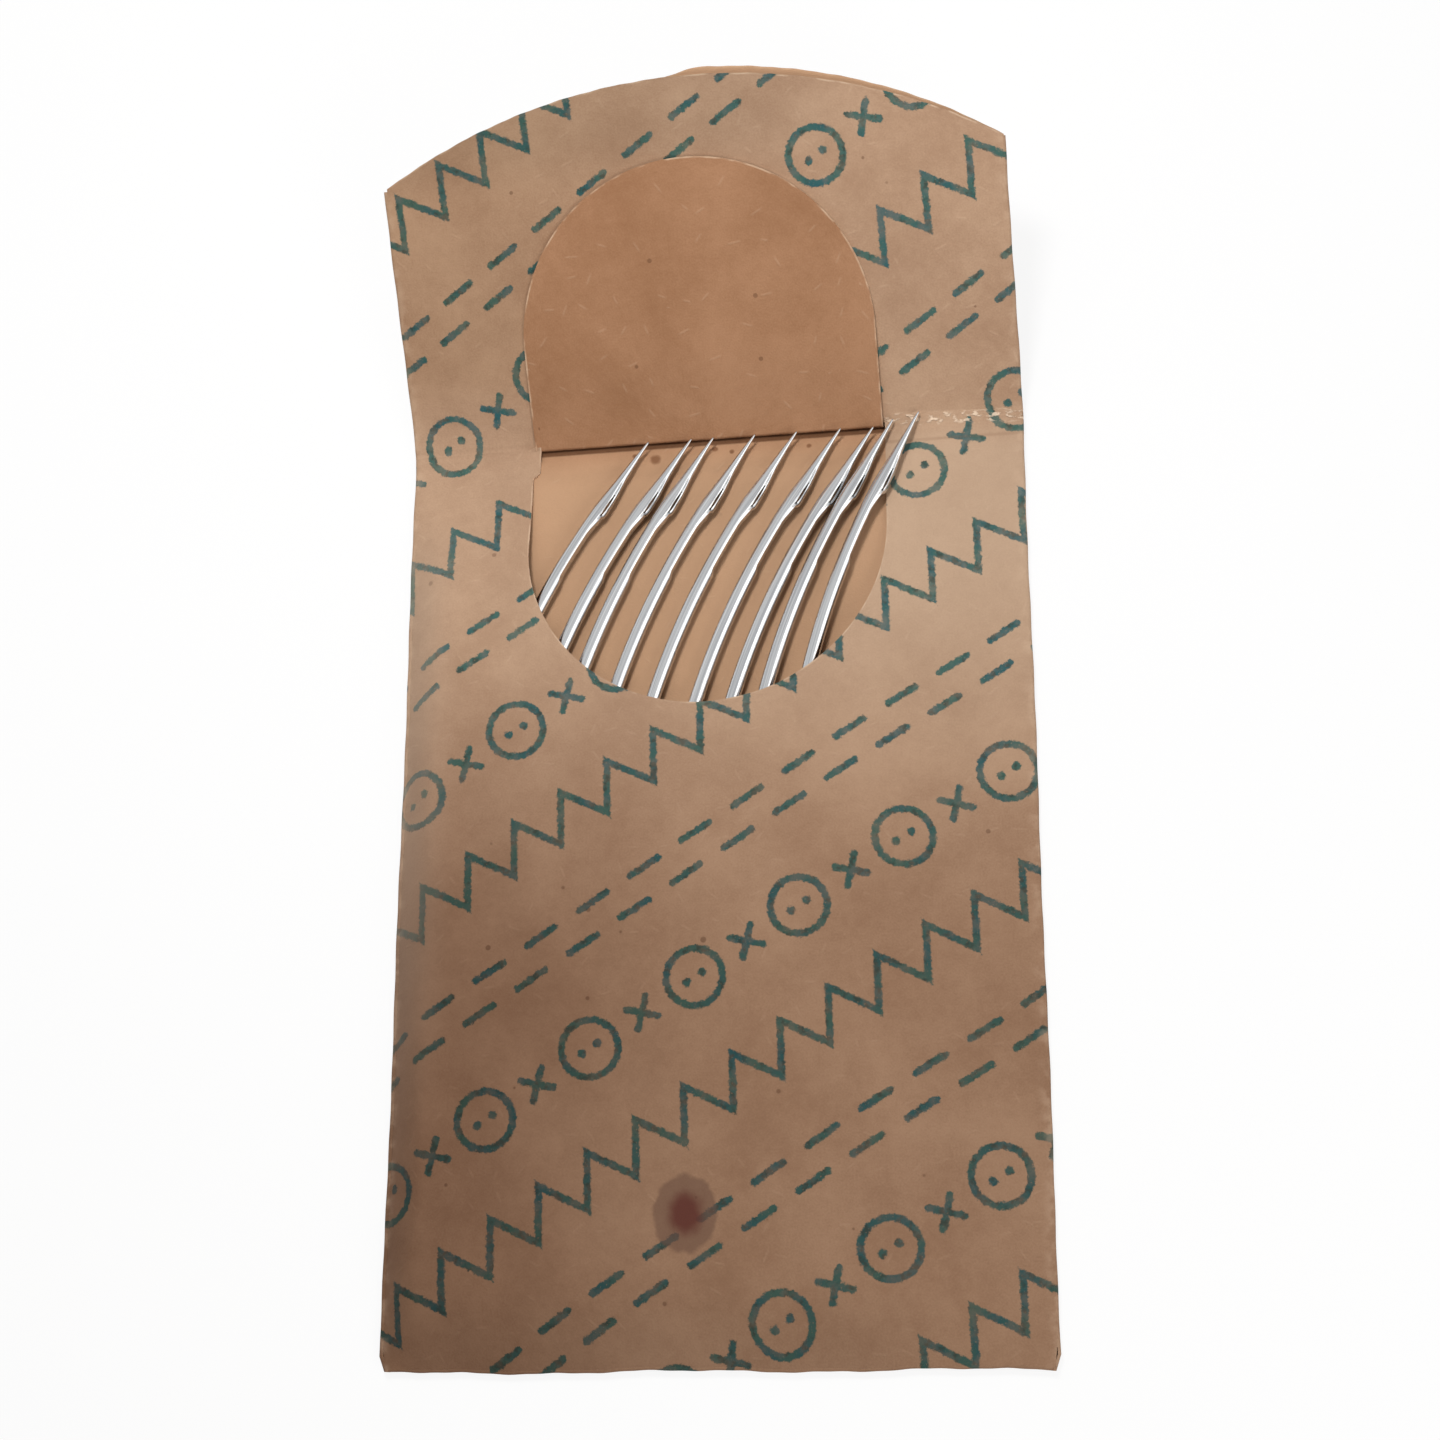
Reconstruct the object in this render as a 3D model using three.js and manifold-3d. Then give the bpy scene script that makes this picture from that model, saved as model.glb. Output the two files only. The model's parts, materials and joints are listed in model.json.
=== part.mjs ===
// A flat paper packet of curved sewing machine needles. Its closing flap is raised, and the thumb tab that was
// cut from its front is turned up against the flap.
// Millimetres and degrees. X runs across the packet, Y along it to the flap, and Z up from what it lies on.
// The origin is the middle of the back panel's underside.
import * as THREE from "three";
import { mergeVertices } from "three/addons/utils/BufferGeometryUtils.js";
import Module from "manifold-3d";

// The packet, one sheet folded into a flat tube
const packetWidth = 36;
const pocketLength = 52.5;
const paper = 0.12;
const layerGap = 0.08;
const creaseSlit = 0.1;
const creaseOffset = 0.15;
const backInset = 0.1;
const sideLapWidth = 7;
const bottomLapLength = 6;
const lapClearance = 0.4;

// The closing flap, whose two layers end in arcs
const flapSideLength = 15.45;
const flapFrontRise = 4.9;
const flapBackRise = 5.3;
const flapRaised = 31;
const creaseAxisHeight = 1.0;

// The thumb window, and the tab that was cut out of it
const windowFromLeft = 17.7;
const windowRadius = 10.4;
const windowLength = 16.5;
const cutWidth = 0.1;
const cutterReach = 1;
const tabFoldSetback = 0.25;
const tabLead = 0.15;

// The bulge of the front panel over the needles
const bulgeRun = 26;
const bulgeStart = 9;
const bulgeSkew = 0.2;
const leftShoulder = 2.4;
const rightShoulder = 10.7;
const bottomShoulder = 4.5;

// A needle, from its point to its butt
const needleLength = 46;
const needleRadius = 47;
const straightPoint = 4;
const tipDiameter = 0.08;
const pointLength = 4.6;
const eyeDiameter = 0.86;
const eyeFromTip = 5.3;
const eyeLength = 1.2;
const eyeWidth = 0.3;
const bladeDiameter = 0.8;
const bladeStart = 7.4;
const scarfFromTip = 8.1;
const scarfLength = 3.6;
const scarfDepth = 0.22;
const grooveWidth = 0.26;
const grooveDepth = 0.15;
const shankDiameter = 1.62;
const shankLength = 14.5;
const shoulderLength = 2.4;
const buttChamfer = 0.25;

// How the needles lie. Each tip's step from the one before it is in needle pitches, how far it ends past the crease
// is in tip reaches, and how far it is raised is in blade diameters.
const needleSideRoom = 2.05;
const needleClearance = 0.15;
const needlePitch = 2.5;
const tipReach = 0.3;
const tipHeight = 0.87;
const needleLay = [
  { step: 0, past: 0, lean: 36.2 },
  { step: 1.02, past: 0, lean: 36 },
  { step: 0.52, past: 0, lean: 34.3 },
  { step: 0.98, past: 0, lean: 34.6 },
  { step: 0.98, past: 0, lean: 34.8 },
  { step: 1.02, past: 0, lean: 34.8 },
  { step: 0.76, past: -0.17, lean: 34.3 },
  { step: 0.46, past: 1, lean: 32, raised: 0.1 },
  { step: 0.6, past: 2, lean: 29.5, overRim: true },
];

// Fineness of the facets
const foldFacets = 6;
const arcFacets = 24;
const panelColumns = 18;
const panelRows = 22;
const needleSides = 12;
const pointRings = 6;
const ringSpacing = 3;
const scarfFacets = 6;
const weldDistance = 1e-5;

const wasm = await Module();
wasm.setup();
const radians = THREE.MathUtils.degToRad;

// Heights of the layers where the packet lies flat
const lapBottom = paper + layerGap;
const frontBottom = lapBottom + paper + layerGap;
const frontTop = frontBottom + paper;
const tabBottom = frontTop + layerGap;

// Places of the edges and folds. The left fold is as high as the whole stack, and the right and bottom folds
// turn in to the glue laps, over the back panel's cut edges.
const leftEdge = -packetWidth / 2;
const rightEdge = packetWidth / 2;
const leftFoldRadius = frontTop / 2;
const rightFoldRadius = (frontTop - lapBottom) / 2;
const panelLeft = leftEdge + leftFoldRadius;
const panelRight = rightEdge - rightFoldRadius;
const panelBottom = -pocketLength + rightFoldRadius;
const windowCentre = leftEdge + windowFromLeft;
const pocketTop = -creaseOffset;
const flapStart = creaseSlit - creaseOffset;

// Turns a closed geometry into a solid that can be cut
function solid(geometry) {
  const bare = geometry.clone();
  bare.deleteAttribute("normal");
  bare.deleteAttribute("uv");
  const merged = mergeVertices(bare, weldDistance);
  const corners = merged.index.array;
  const triangles = [];
  for (let i = 0; i < corners.length; i += 3) {
    const [a, b, c] = corners.slice(i, i + 3);
    if (a !== b && b !== c && c !== a) triangles.push(a, b, c);
  }
  const vertProperties = new Float32Array(merged.attributes.position.array);
  return new wasm.Manifold(new wasm.Mesh({ numProp: 3, vertProperties, triVerts: new Uint32Array(triangles) }));
}

// Turns a cut solid back into a geometry
function geometryOf(manifold) {
  const mesh = manifold.getMesh();
  const geometry = new THREE.BufferGeometry();
  geometry.setAttribute("position", new THREE.BufferAttribute(new Float32Array(mesh.vertProperties), 3));
  geometry.setIndex(new THREE.BufferAttribute(new Uint32Array(mesh.triVerts), 1));
  geometry.computeVertexNormals();
  return geometry;
}

function extruded(shape, depth) {
  return new THREE.ExtrudeGeometry(shape, { depth, bevelEnabled: false, curveSegments: arcFacets });
}

function rectangle(left, right, bottom, top) {
  const shape = new THREE.Shape();
  shape.moveTo(left, bottom);
  shape.lineTo(right, bottom);
  shape.lineTo(right, top);
  shape.lineTo(left, top);
  shape.closePath();
  return shape;
}

// A flat piece of paper with its underside at a height
function flatPaper(shape, height) {
  return extruded(shape, paper).translate(0, 0, height);
}

// The section of a fold: a half ring of paper that opens to +X, with its lower leg at height 0
function foldSection(radius) {
  const shape = new THREE.Shape();
  shape.absarc(0, radius, radius, Math.PI / 2, (3 * Math.PI) / 2, false);
  shape.absarc(0, radius, radius - paper, (3 * Math.PI) / 2, Math.PI / 2, true);
  shape.closePath();
  return shape;
}

// A fold along Y, from y = 0 down to -length, with its round back to -X
function foldAlongY(radius, length) {
  const settings = { depth: length, bevelEnabled: false, curveSegments: foldFacets };
  return new THREE.ExtrudeGeometry(foldSection(radius), settings).rotateX(Math.PI / 2);
}

// A fold along X, centred on x = 0, with its round back to -Y
function foldAlongX(radius, length) {
  return foldAlongY(radius, length).rotateZ(Math.PI / 2).translate(-length / 2, 0, 0);
}

// The U of the thumb window and its tab: straight sides from start, then a half circle. Direction is 1 or -1 along Y.
function thumbOutline(radius, start, length, direction) {
  const straight = length - windowRadius;
  const shape = new THREE.Shape();
  shape.moveTo(windowCentre - radius, direction * start);
  shape.lineTo(windowCentre + radius, direction * start);
  shape.lineTo(windowCentre + radius, direction * straight);
  shape.absarc(windowCentre, direction * straight, radius, 0, direction * Math.PI, direction < 0);
  shape.closePath();
  return shape;
}

// A flap layer between two edges, ending in an arc through the flap's corners and a rise above their line
function flapOutline(left, right, rise) {
  const half = packetWidth / 2;
  const radius = (half * half + rise * rise) / (2 * rise);
  const middle = flapSideLength + rise - radius;
  const from = Math.acos(right / radius);
  const to = Math.acos(left / radius);
  const shape = new THREE.Shape();
  shape.moveTo(left, flapStart);
  shape.lineTo(right, flapStart);
  shape.lineTo(right, middle + radius * Math.sin(from));
  shape.absarc(0, middle, radius, from, to, false);
  shape.closePath();
  return shape;
}

// Eased steps from 0 to 1
const clamp = (t) => Math.min(Math.max(t, 0), 1);
const smooth = (t) => clamp(t) ** 2 * (3 - 2 * clamp(t));
const easeOut = (t) => 1 - (1 - clamp(t)) ** 2;
const roundOff = (t) => Math.sin((clamp(t) * Math.PI) / 2);

// How far along Y the needle reaches back from its tip to a distance along it, when it leans
function reachBack(distance, lean) {
  const turned = Math.max(distance - straightPoint, 0) / needleRadius;
  const straight = Math.min(distance, straightPoint);
  return straight * Math.cos(lean) + needleRadius * (Math.sin(lean) - Math.sin(lean - turned));
}

// The tilt of a needle whose shank's end by the shoulder lies just clear of the back panel
const shankStart = needleLength - shankLength;
const shankHeight = paper + needleClearance + shankDiameter / 2;
function needleTilt(height, lean) {
  return Math.atan2(shankHeight - height, reachBack(shankStart, lean));
}

// The top of the front panel's bulge clears the first needle's butt, which lies highest
const firstLean = radians(needleLay[0].lean);
const buttHeight = tipHeight + reachBack(needleLength, firstLean) * Math.tan(needleTilt(tipHeight, firstLean));
const bulgeHeight = buttHeight + shankDiameter / 2 + needleClearance + paper - frontTop;

// Height of the front panel's upper face: it lies flat at its edges and the crease, and rises over the shanks
function panelHeight(x, y) {
  const lengthwise = easeOut((-y - bulgeSkew * x) / bulgeRun) * smooth(-y / bulgeStart);
  const bottom = roundOff((y - panelBottom) / bottomShoulder);
  const left = roundOff((x - panelLeft) / leftShoulder);
  const right = smooth((panelRight - x) / rightShoulder);
  return frontTop + bulgeHeight * lengthwise * bottom * left * right;
}

// A sheet of paper over a grid, with the panel's height and a flat-cut border
function bulgedSheet() {
  const across = panelColumns + 1;
  const layer = across * (panelRows + 1);
  const points = [];
  for (const drop of [0, paper]) {
    for (let row = 0; row <= panelRows; row++) {
      const y = THREE.MathUtils.lerp(panelBottom, pocketTop, row / panelRows);
      for (let column = 0; column <= panelColumns; column++) {
        const x = THREE.MathUtils.lerp(panelLeft, panelRight, column / panelColumns);
        points.push(x, y, panelHeight(x, y) - drop);
      }
    }
  }
  const faces = [];
  const quad = (a, b, c, d) => faces.push(a, b, c, a, c, d);
  const at = (row, column) => row * across + column;
  for (let row = 0; row < panelRows; row++) {
    for (let column = 0; column < panelColumns; column++) {
      const [a, b] = [at(row, column), at(row, column + 1)];
      const [c, d] = [at(row + 1, column + 1), at(row + 1, column)];
      quad(a, b, c, d);
      quad(layer + d, layer + c, layer + b, layer + a);
    }
    const [left, leftNext] = [at(row, 0), at(row + 1, 0)];
    const [right, rightNext] = [at(row, panelColumns), at(row + 1, panelColumns)];
    quad(left, leftNext, layer + leftNext, layer + left);
    quad(rightNext, right, layer + right, layer + rightNext);
  }
  for (let column = 0; column < panelColumns; column++) {
    const [near, nearNext] = [at(0, column), at(0, column + 1)];
    const [far, farNext] = [at(panelRows, column), at(panelRows, column + 1)];
    quad(nearNext, near, layer + near, layer + nearNext);
    quad(far, farNext, layer + farNext, layer + far);
  }
  const geometry = new THREE.BufferGeometry();
  geometry.setAttribute("position", new THREE.Float32BufferAttribute(points, 3));
  geometry.setIndex(faces);
  return geometry;
}

// The front panel with the thumb window cut through it, open at the crease
function frontPanel() {
  const height = frontTop + bulgeHeight + cutterReach;
  const window = extruded(thumbOutline(windowRadius, -cutterReach, windowLength, -1), height);
  return geometryOf(solid(bulgedSheet()).subtract(solid(window)));
}

// Half the needle's thickness at each ring, from the butt at y = -needleLength to the point at y = 0
function needleProfile() {
  const [tip, eye, blade, shank] = [tipDiameter, eyeDiameter, bladeDiameter, shankDiameter].map((d) => d / 2);
  const shoulderStart = shankStart - shoulderLength;
  const profile = [[0, needleLength], [shank - buttChamfer, needleLength]];
  const run = (radius, from, to) => {
    const steps = Math.max(Math.round((from - to) / ringSpacing), 1);
    for (let i = 0; i <= steps; i++) profile.push([radius, from + ((to - from) * i) / steps]);
  };
  run(shank, needleLength - buttChamfer, shankStart);
  run(blade, shoulderStart, bladeStart);
  profile.push([eye, eyeFromTip + eyeLength / 2]);
  for (let i = pointRings; i >= 0; i--) {
    const t = i / pointRings;
    profile.push([tip + (eye - tip) * roundOff(t), tip + (pointLength - tip) * t]);
  }
  profile.push([0, 0]);
  return profile.map(([radius, fromTip]) => new THREE.Vector2(radius, -fromTip));
}

// Bends a straight needle, or a cutter for it, onto the needle's arc. The straight one lies along Y with its tip at the
// origin, and the arc's centre is to its right.
function bent(geometry) {
  const place = geometry.attributes.position;
  for (let i = 0; i < place.count; i++) {
    const [x, fromTip] = [place.getX(i), -place.getY(i)];
    if (fromTip <= straightPoint) continue;
    const turned = (fromTip - straightPoint) / needleRadius;
    const inward = needleRadius - x;
    place.setXY(i, needleRadius - inward * Math.cos(turned), -straightPoint - inward * Math.sin(turned));
  }
  return geometry;
}

// The long groove on the outside of the curve, which guides the thread from the shoulder to the eye
function grooveCutter() {
  const shoulderStart = shankStart - shoulderLength;
  const length = shoulderStart - eyeFromTip;
  const steps = Math.round(length / ringSpacing);
  const thick = bladeDiameter;
  const box = new THREE.BoxGeometry(thick, length, grooveWidth, 1, steps, 1);
  box.translate(grooveDepth - bladeDiameter / 2 - thick / 2, -(eyeFromTip + shoulderStart) / 2, 0);
  return bent(box);
}

// The scarf, a hollow on the inside of the curve behind the eye
function scarfCutter() {
  const half = scarfLength / 2;
  const radius = (half * half + scarfDepth * scarfDepth) / (2 * scarfDepth);
  const fineness = Math.round((2 * Math.PI * radius) / (scarfLength / scarfFacets));
  const roller = new THREE.CylinderGeometry(radius, radius, 2 * bladeDiameter, fineness);
  roller.rotateX(Math.PI / 2);
  roller.translate(bladeDiameter / 2 - scarfDepth + radius, -scarfFromTip, 0);
  return bent(roller);
}

// The eye, a slot with round ends that passes from the groove to the scarf
function eyeCutter() {
  const end = eyeWidth / 2;
  const half = eyeLength / 2 - end;
  const slot = new THREE.Shape();
  slot.absarc(0, half, end, 0, Math.PI, false);
  slot.absarc(0, -half, end, Math.PI, 2 * Math.PI, false);
  slot.closePath();
  const settings = { depth: 2 * eyeDiameter, bevelEnabled: false, curveSegments: foldFacets };
  const cutter = new THREE.ExtrudeGeometry(slot, settings).translate(0, 0, -eyeDiameter);
  cutter.rotateY(Math.PI / 2);
  return bent(cutter.translate(0, -eyeFromTip, 0));
}

function needle() {
  const blank = solid(bent(new THREE.LatheGeometry(needleProfile(), needleSides)));
  const cut = [grooveCutter(), scarfCutter(), eyeCutter()].reduce((body, cutter) => body.subtract(solid(cutter)), blank);
  return geometryOf(cut);
}

// Finishes: printed kraft paper, its bare inner side, and bright steel
const finishes = {
  printedPaper: { color: 0xb08a6c, roughness: 0.85, metalness: 0 },
  barePaper: { color: 0xa77d5c, roughness: 0.9, metalness: 0 },
  needleSteel: { color: 0xc9cdd1, roughness: 0.25, metalness: 1 },
};
function piece(name, geometry, finish) {
  const mesh = new THREE.Mesh(geometry, new THREE.MeshStandardMaterial(finishes[finish]));
  mesh.name = name;
  return mesh;
}

// The pocket. Inside this group y = 0 is the crease.
const packet = new THREE.Group();
packet.position.y = pocketLength / 2;
const backRight = rightEdge - backInset;
const backBottom = -pocketLength + backInset;
const foldLength = pocketLength - creaseOffset;
const lapLeft = panelRight - sideLapWidth;
const lapEnd = panelRight - rightFoldRadius;
const bottomLapTop = panelBottom + bottomLapLength;
packet.add(piece("back_panel", flatPaper(rectangle(panelLeft, backRight, backBottom, pocketTop), 0), "barePaper"));
packet.add(piece("front_panel", frontPanel(), "printedPaper"));

const leftFold = piece("left_side_fold", foldAlongY(leftFoldRadius, foldLength), "printedPaper");
leftFold.position.set(panelLeft, pocketTop, 0);
packet.add(leftFold);

const rightFold = piece("right_side_fold", foldAlongY(rightFoldRadius, foldLength), "printedPaper");
rightFold.geometry.rotateZ(Math.PI);
rightFold.position.set(panelRight, -pocketLength, lapBottom);
packet.add(rightFold);

const bottomFold = piece("bottom_fold", foldAlongX(rightFoldRadius, panelRight - panelLeft), "printedPaper");
bottomFold.position.set((panelLeft + panelRight) / 2, panelBottom, lapBottom);
packet.add(bottomFold);

const sideLap = rectangle(lapLeft, lapEnd, bottomLapTop + lapClearance, pocketTop);
packet.add(piece("side_glue_lap", flatPaper(sideLap, lapBottom), "printedPaper"));

const bottomLap = rectangle(panelLeft + lapClearance, lapEnd, panelBottom + rightFoldRadius, bottomLapTop);
packet.add(piece("bottom_glue_lap", flatPaper(bottomLap, lapBottom), "printedPaper"));

// The flap, whose group turns about the crease's axis. Heights are measured from that axis.
const flap = new THREE.Group();
flap.position.z = creaseAxisHeight;
flap.rotation.x = radians(flapRaised);
const fromAxis = (height) => height - creaseAxisHeight;
const flapFoldLength = flapSideLength - flapStart;
const flapFront = flapOutline(panelLeft, panelRight, flapFrontRise);
const flapBack = flapOutline(panelLeft, backRight, flapBackRise);
flap.add(piece("flap_front", flatPaper(flapFront, fromAxis(frontBottom)), "printedPaper"));
flap.add(piece("flap_back", flatPaper(flapBack, fromAxis(0)), "printedPaper"));

const flapLeftFold = piece("flap_left_fold", foldAlongY(leftFoldRadius, flapFoldLength), "printedPaper");
flapLeftFold.position.set(panelLeft, flapSideLength, fromAxis(0));
flap.add(flapLeftFold);

const flapRightFold = piece("flap_right_fold", foldAlongY(rightFoldRadius, flapFoldLength), "printedPaper");
flapRightFold.geometry.rotateZ(Math.PI);
flapRightFold.position.set(panelRight, flapStart, fromAxis(lapBottom));
flap.add(flapRightFold);

const flapLap = rectangle(lapLeft, lapEnd, flapStart, flapSideLength);
flap.add(piece("flap_glue_lap", flatPaper(flapLap, fromAxis(lapBottom)), "printedPaper"));

// The thumb tab, which turns about the same axis and lies on the flap. It was folded a little below the crease, so it
// ends lower on the flap than the window's end lies below the crease.
const tabLength = windowLength - 2 * tabFoldSetback - cutWidth;
const thumbTab = thumbOutline(windowRadius - cutWidth, -tabLead, tabLength, 1);
flap.add(piece("thumb_tab", flatPaper(thumbTab, fromAxis(tabBottom)), "barePaper"));
packet.add(flap);

// The needles, laid from the left fold to the right. The last one lies over the window's rim.
const rimHeight = frontTop + eyeDiameter / 2 + needleClearance;
const leftReach = straightPoint * Math.sin(firstLean) + needleRadius * (1 - Math.cos(firstLean));
let tipAcross = leftEdge + needleSideRoom + shankDiameter / 2 + leftReach;
needleLay.forEach(({ step, past, lean, raised = 0, overRim = false }, index) => {
  tipAcross += step * needlePitch;
  const height = overRim ? rimHeight : tipHeight + raised * bladeDiameter;
  const mesh = piece(`needle_${String(index + 1).padStart(2, "0")}`, needle(), "needleSteel");
  mesh.position.set(tipAcross, past * tipReach, height);
  mesh.rotation.set(-needleTilt(height, radians(lean)), 0, -radians(lean));
  packet.add(mesh);
});

const needlePacket = new THREE.Group();
needlePacket.add(packet);
export default needlePacket;
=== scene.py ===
import json
import math

import bpy
import numpy as np
from mathutils import Matrix, Vector


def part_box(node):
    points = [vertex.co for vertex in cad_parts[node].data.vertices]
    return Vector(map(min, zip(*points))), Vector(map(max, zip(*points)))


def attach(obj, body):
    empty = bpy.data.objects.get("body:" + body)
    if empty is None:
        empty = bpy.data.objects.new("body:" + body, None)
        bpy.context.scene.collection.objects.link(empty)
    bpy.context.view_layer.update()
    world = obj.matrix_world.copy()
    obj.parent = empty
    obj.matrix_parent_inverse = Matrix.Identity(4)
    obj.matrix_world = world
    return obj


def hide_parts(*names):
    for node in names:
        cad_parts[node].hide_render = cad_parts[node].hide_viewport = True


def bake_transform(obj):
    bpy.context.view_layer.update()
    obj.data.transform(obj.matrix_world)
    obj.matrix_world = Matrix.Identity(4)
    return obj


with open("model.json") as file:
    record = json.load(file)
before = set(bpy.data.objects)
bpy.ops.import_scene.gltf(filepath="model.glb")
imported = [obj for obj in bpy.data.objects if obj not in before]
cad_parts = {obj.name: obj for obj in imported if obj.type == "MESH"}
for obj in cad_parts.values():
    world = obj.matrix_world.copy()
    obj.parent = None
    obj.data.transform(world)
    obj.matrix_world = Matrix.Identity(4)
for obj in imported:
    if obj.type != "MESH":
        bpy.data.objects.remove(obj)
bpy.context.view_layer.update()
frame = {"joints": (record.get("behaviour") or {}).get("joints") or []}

# The sheet of kraft paper. One sheet, printed on its outer side, is folded into a flat tube, and the tube's
# upper end is bent up at a crease to make the closing flap. Sizes are in millimetres, the panels' own are
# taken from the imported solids, and places along the sheet are counted from the crease.
MM = 1000
joints = {joint["name"]: joint for joint in frame["joints"]}
_, crease_y, crease_axis = np.array(joints["flap_fold"]["pos_m"]) * MM
flap_raised = math.radians(-joints["flap_fold"]["range_deg"][0])
crease_ease = 0.3
window_centre, window_radius = -0.3, 10.4


def corners(node):
    """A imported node's lowest and highest corners in millimetres, with y counted from the crease."""
    low, high = np.array(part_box(node)) * MM
    return low - (0, crease_y, 0), high - (0, crease_y, 0)


panel_low, panel_high = corners("front_panel")
panel_left, panel_bottom = panel_low[:2]
panel_right = panel_high[0]
front_top = corners("left_side_fold")[1][2]


def ease(t):
    """A smooth step from 0 to 1: three times the square less twice the cube."""
    t = np.clip(t, 0, 1)
    return t * t * (3 - 2 * t)


def beside_window(x, near, far):
    """0 across the thumb window, easing to 1 between two distances outside its sides."""
    return ease((abs(x - window_centre) - window_radius - near) / (far - near))


def crease_band(x, along):
    """Height of the slanting band between the crease's two lines, which run together towards the right. On
    the right it is the chord across the corner that the pocket and the flap make, and on the left a round
    bend, which is the chord's square over twice its height at the crease."""
    below = 0.95
    above = np.interp(x, (panel_left, panel_right), (1.35, 0.3))
    round_until, sharpens_over = -6, 14
    slant = np.arctan2(above * math.sin(flap_raised), below + above * math.cos(flap_raised))
    from_pocket = (along + below) * np.tan(slant)
    from_flap = (above - along) * np.tan(flap_raised - slant)
    chord = np.clip(np.minimum(from_pocket, from_flap), 0, None)
    rounded = chord**2 / (2 * below * np.tan(slant))
    sharp = ease((x - round_until) / sharpens_over)
    return (sharp * chord + (1 - sharp) * rounded) * beside_window(x, 0.1, 1.2)


def worn_edge(x, along):
    """How far the side folds stray from straight lines, as two sine waves, and how far they draw in at the
    blunt lower corners, as a parabola. Both fade out towards the middle."""
    corner_top, corner_length, corner_draw = 0.45, 0.6, 0.28
    still_half, fades_over = 12, 6
    stray = 0.03 * np.sin(0.31 * along + 0.8) + 0.015 * np.sin(1.7 * along + 2 * np.sign(x))
    corner = np.clip((panel_bottom + corner_top - along) / corner_length, 0, 1)
    return (stray - np.sign(x) * corner_draw * corner**2) * ease((abs(x) - still_half) / fades_over)


def worn_bottom(x, along):
    """How far the bottom fold strays from a straight line, as three sine waves that fade out above it."""
    fades_over = 3
    stray = 0.07 * np.sin(0.42 * x + 2.4) + 0.035 * np.sin(1.3 * x) + 0.012 * np.sin(3.7 * x + 1)
    return stray * ease((panel_bottom + fades_over - along) / fades_over)


def crease_turn(along):
    """The sheet's angle: 0 in the pocket, easing to the flap's across the crease."""
    return flap_raised * ease((along + crease_ease) / (2 * crease_ease))


def place(x, along, height, turn=None):
    """A point of the flat packet, in metres, once the flap is raised. It turns about the crease's axis by
    the angle that is given, or else by the crease's own, which comes in at once over the thumb window."""
    x, along, height = np.broadcast_arrays(x, along, height)
    height = height + crease_band(x, along) * np.clip(height / front_top, 0, 1)
    x, along = x + worn_edge(x, along), along + worn_bottom(x, along)
    if turn is None:
        above_window = (1 - beside_window(x, 0, 0.6)) * (along > -crease_ease)
        turn = np.maximum(crease_turn(along), flap_raised * above_window)
    out = height - crease_axis
    y = along * np.cos(turn) - out * np.sin(turn) + crease_y
    z = along * np.sin(turn) + out * np.cos(turn) + crease_axis
    return np.stack([x, y, z], -1) / MM


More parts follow.
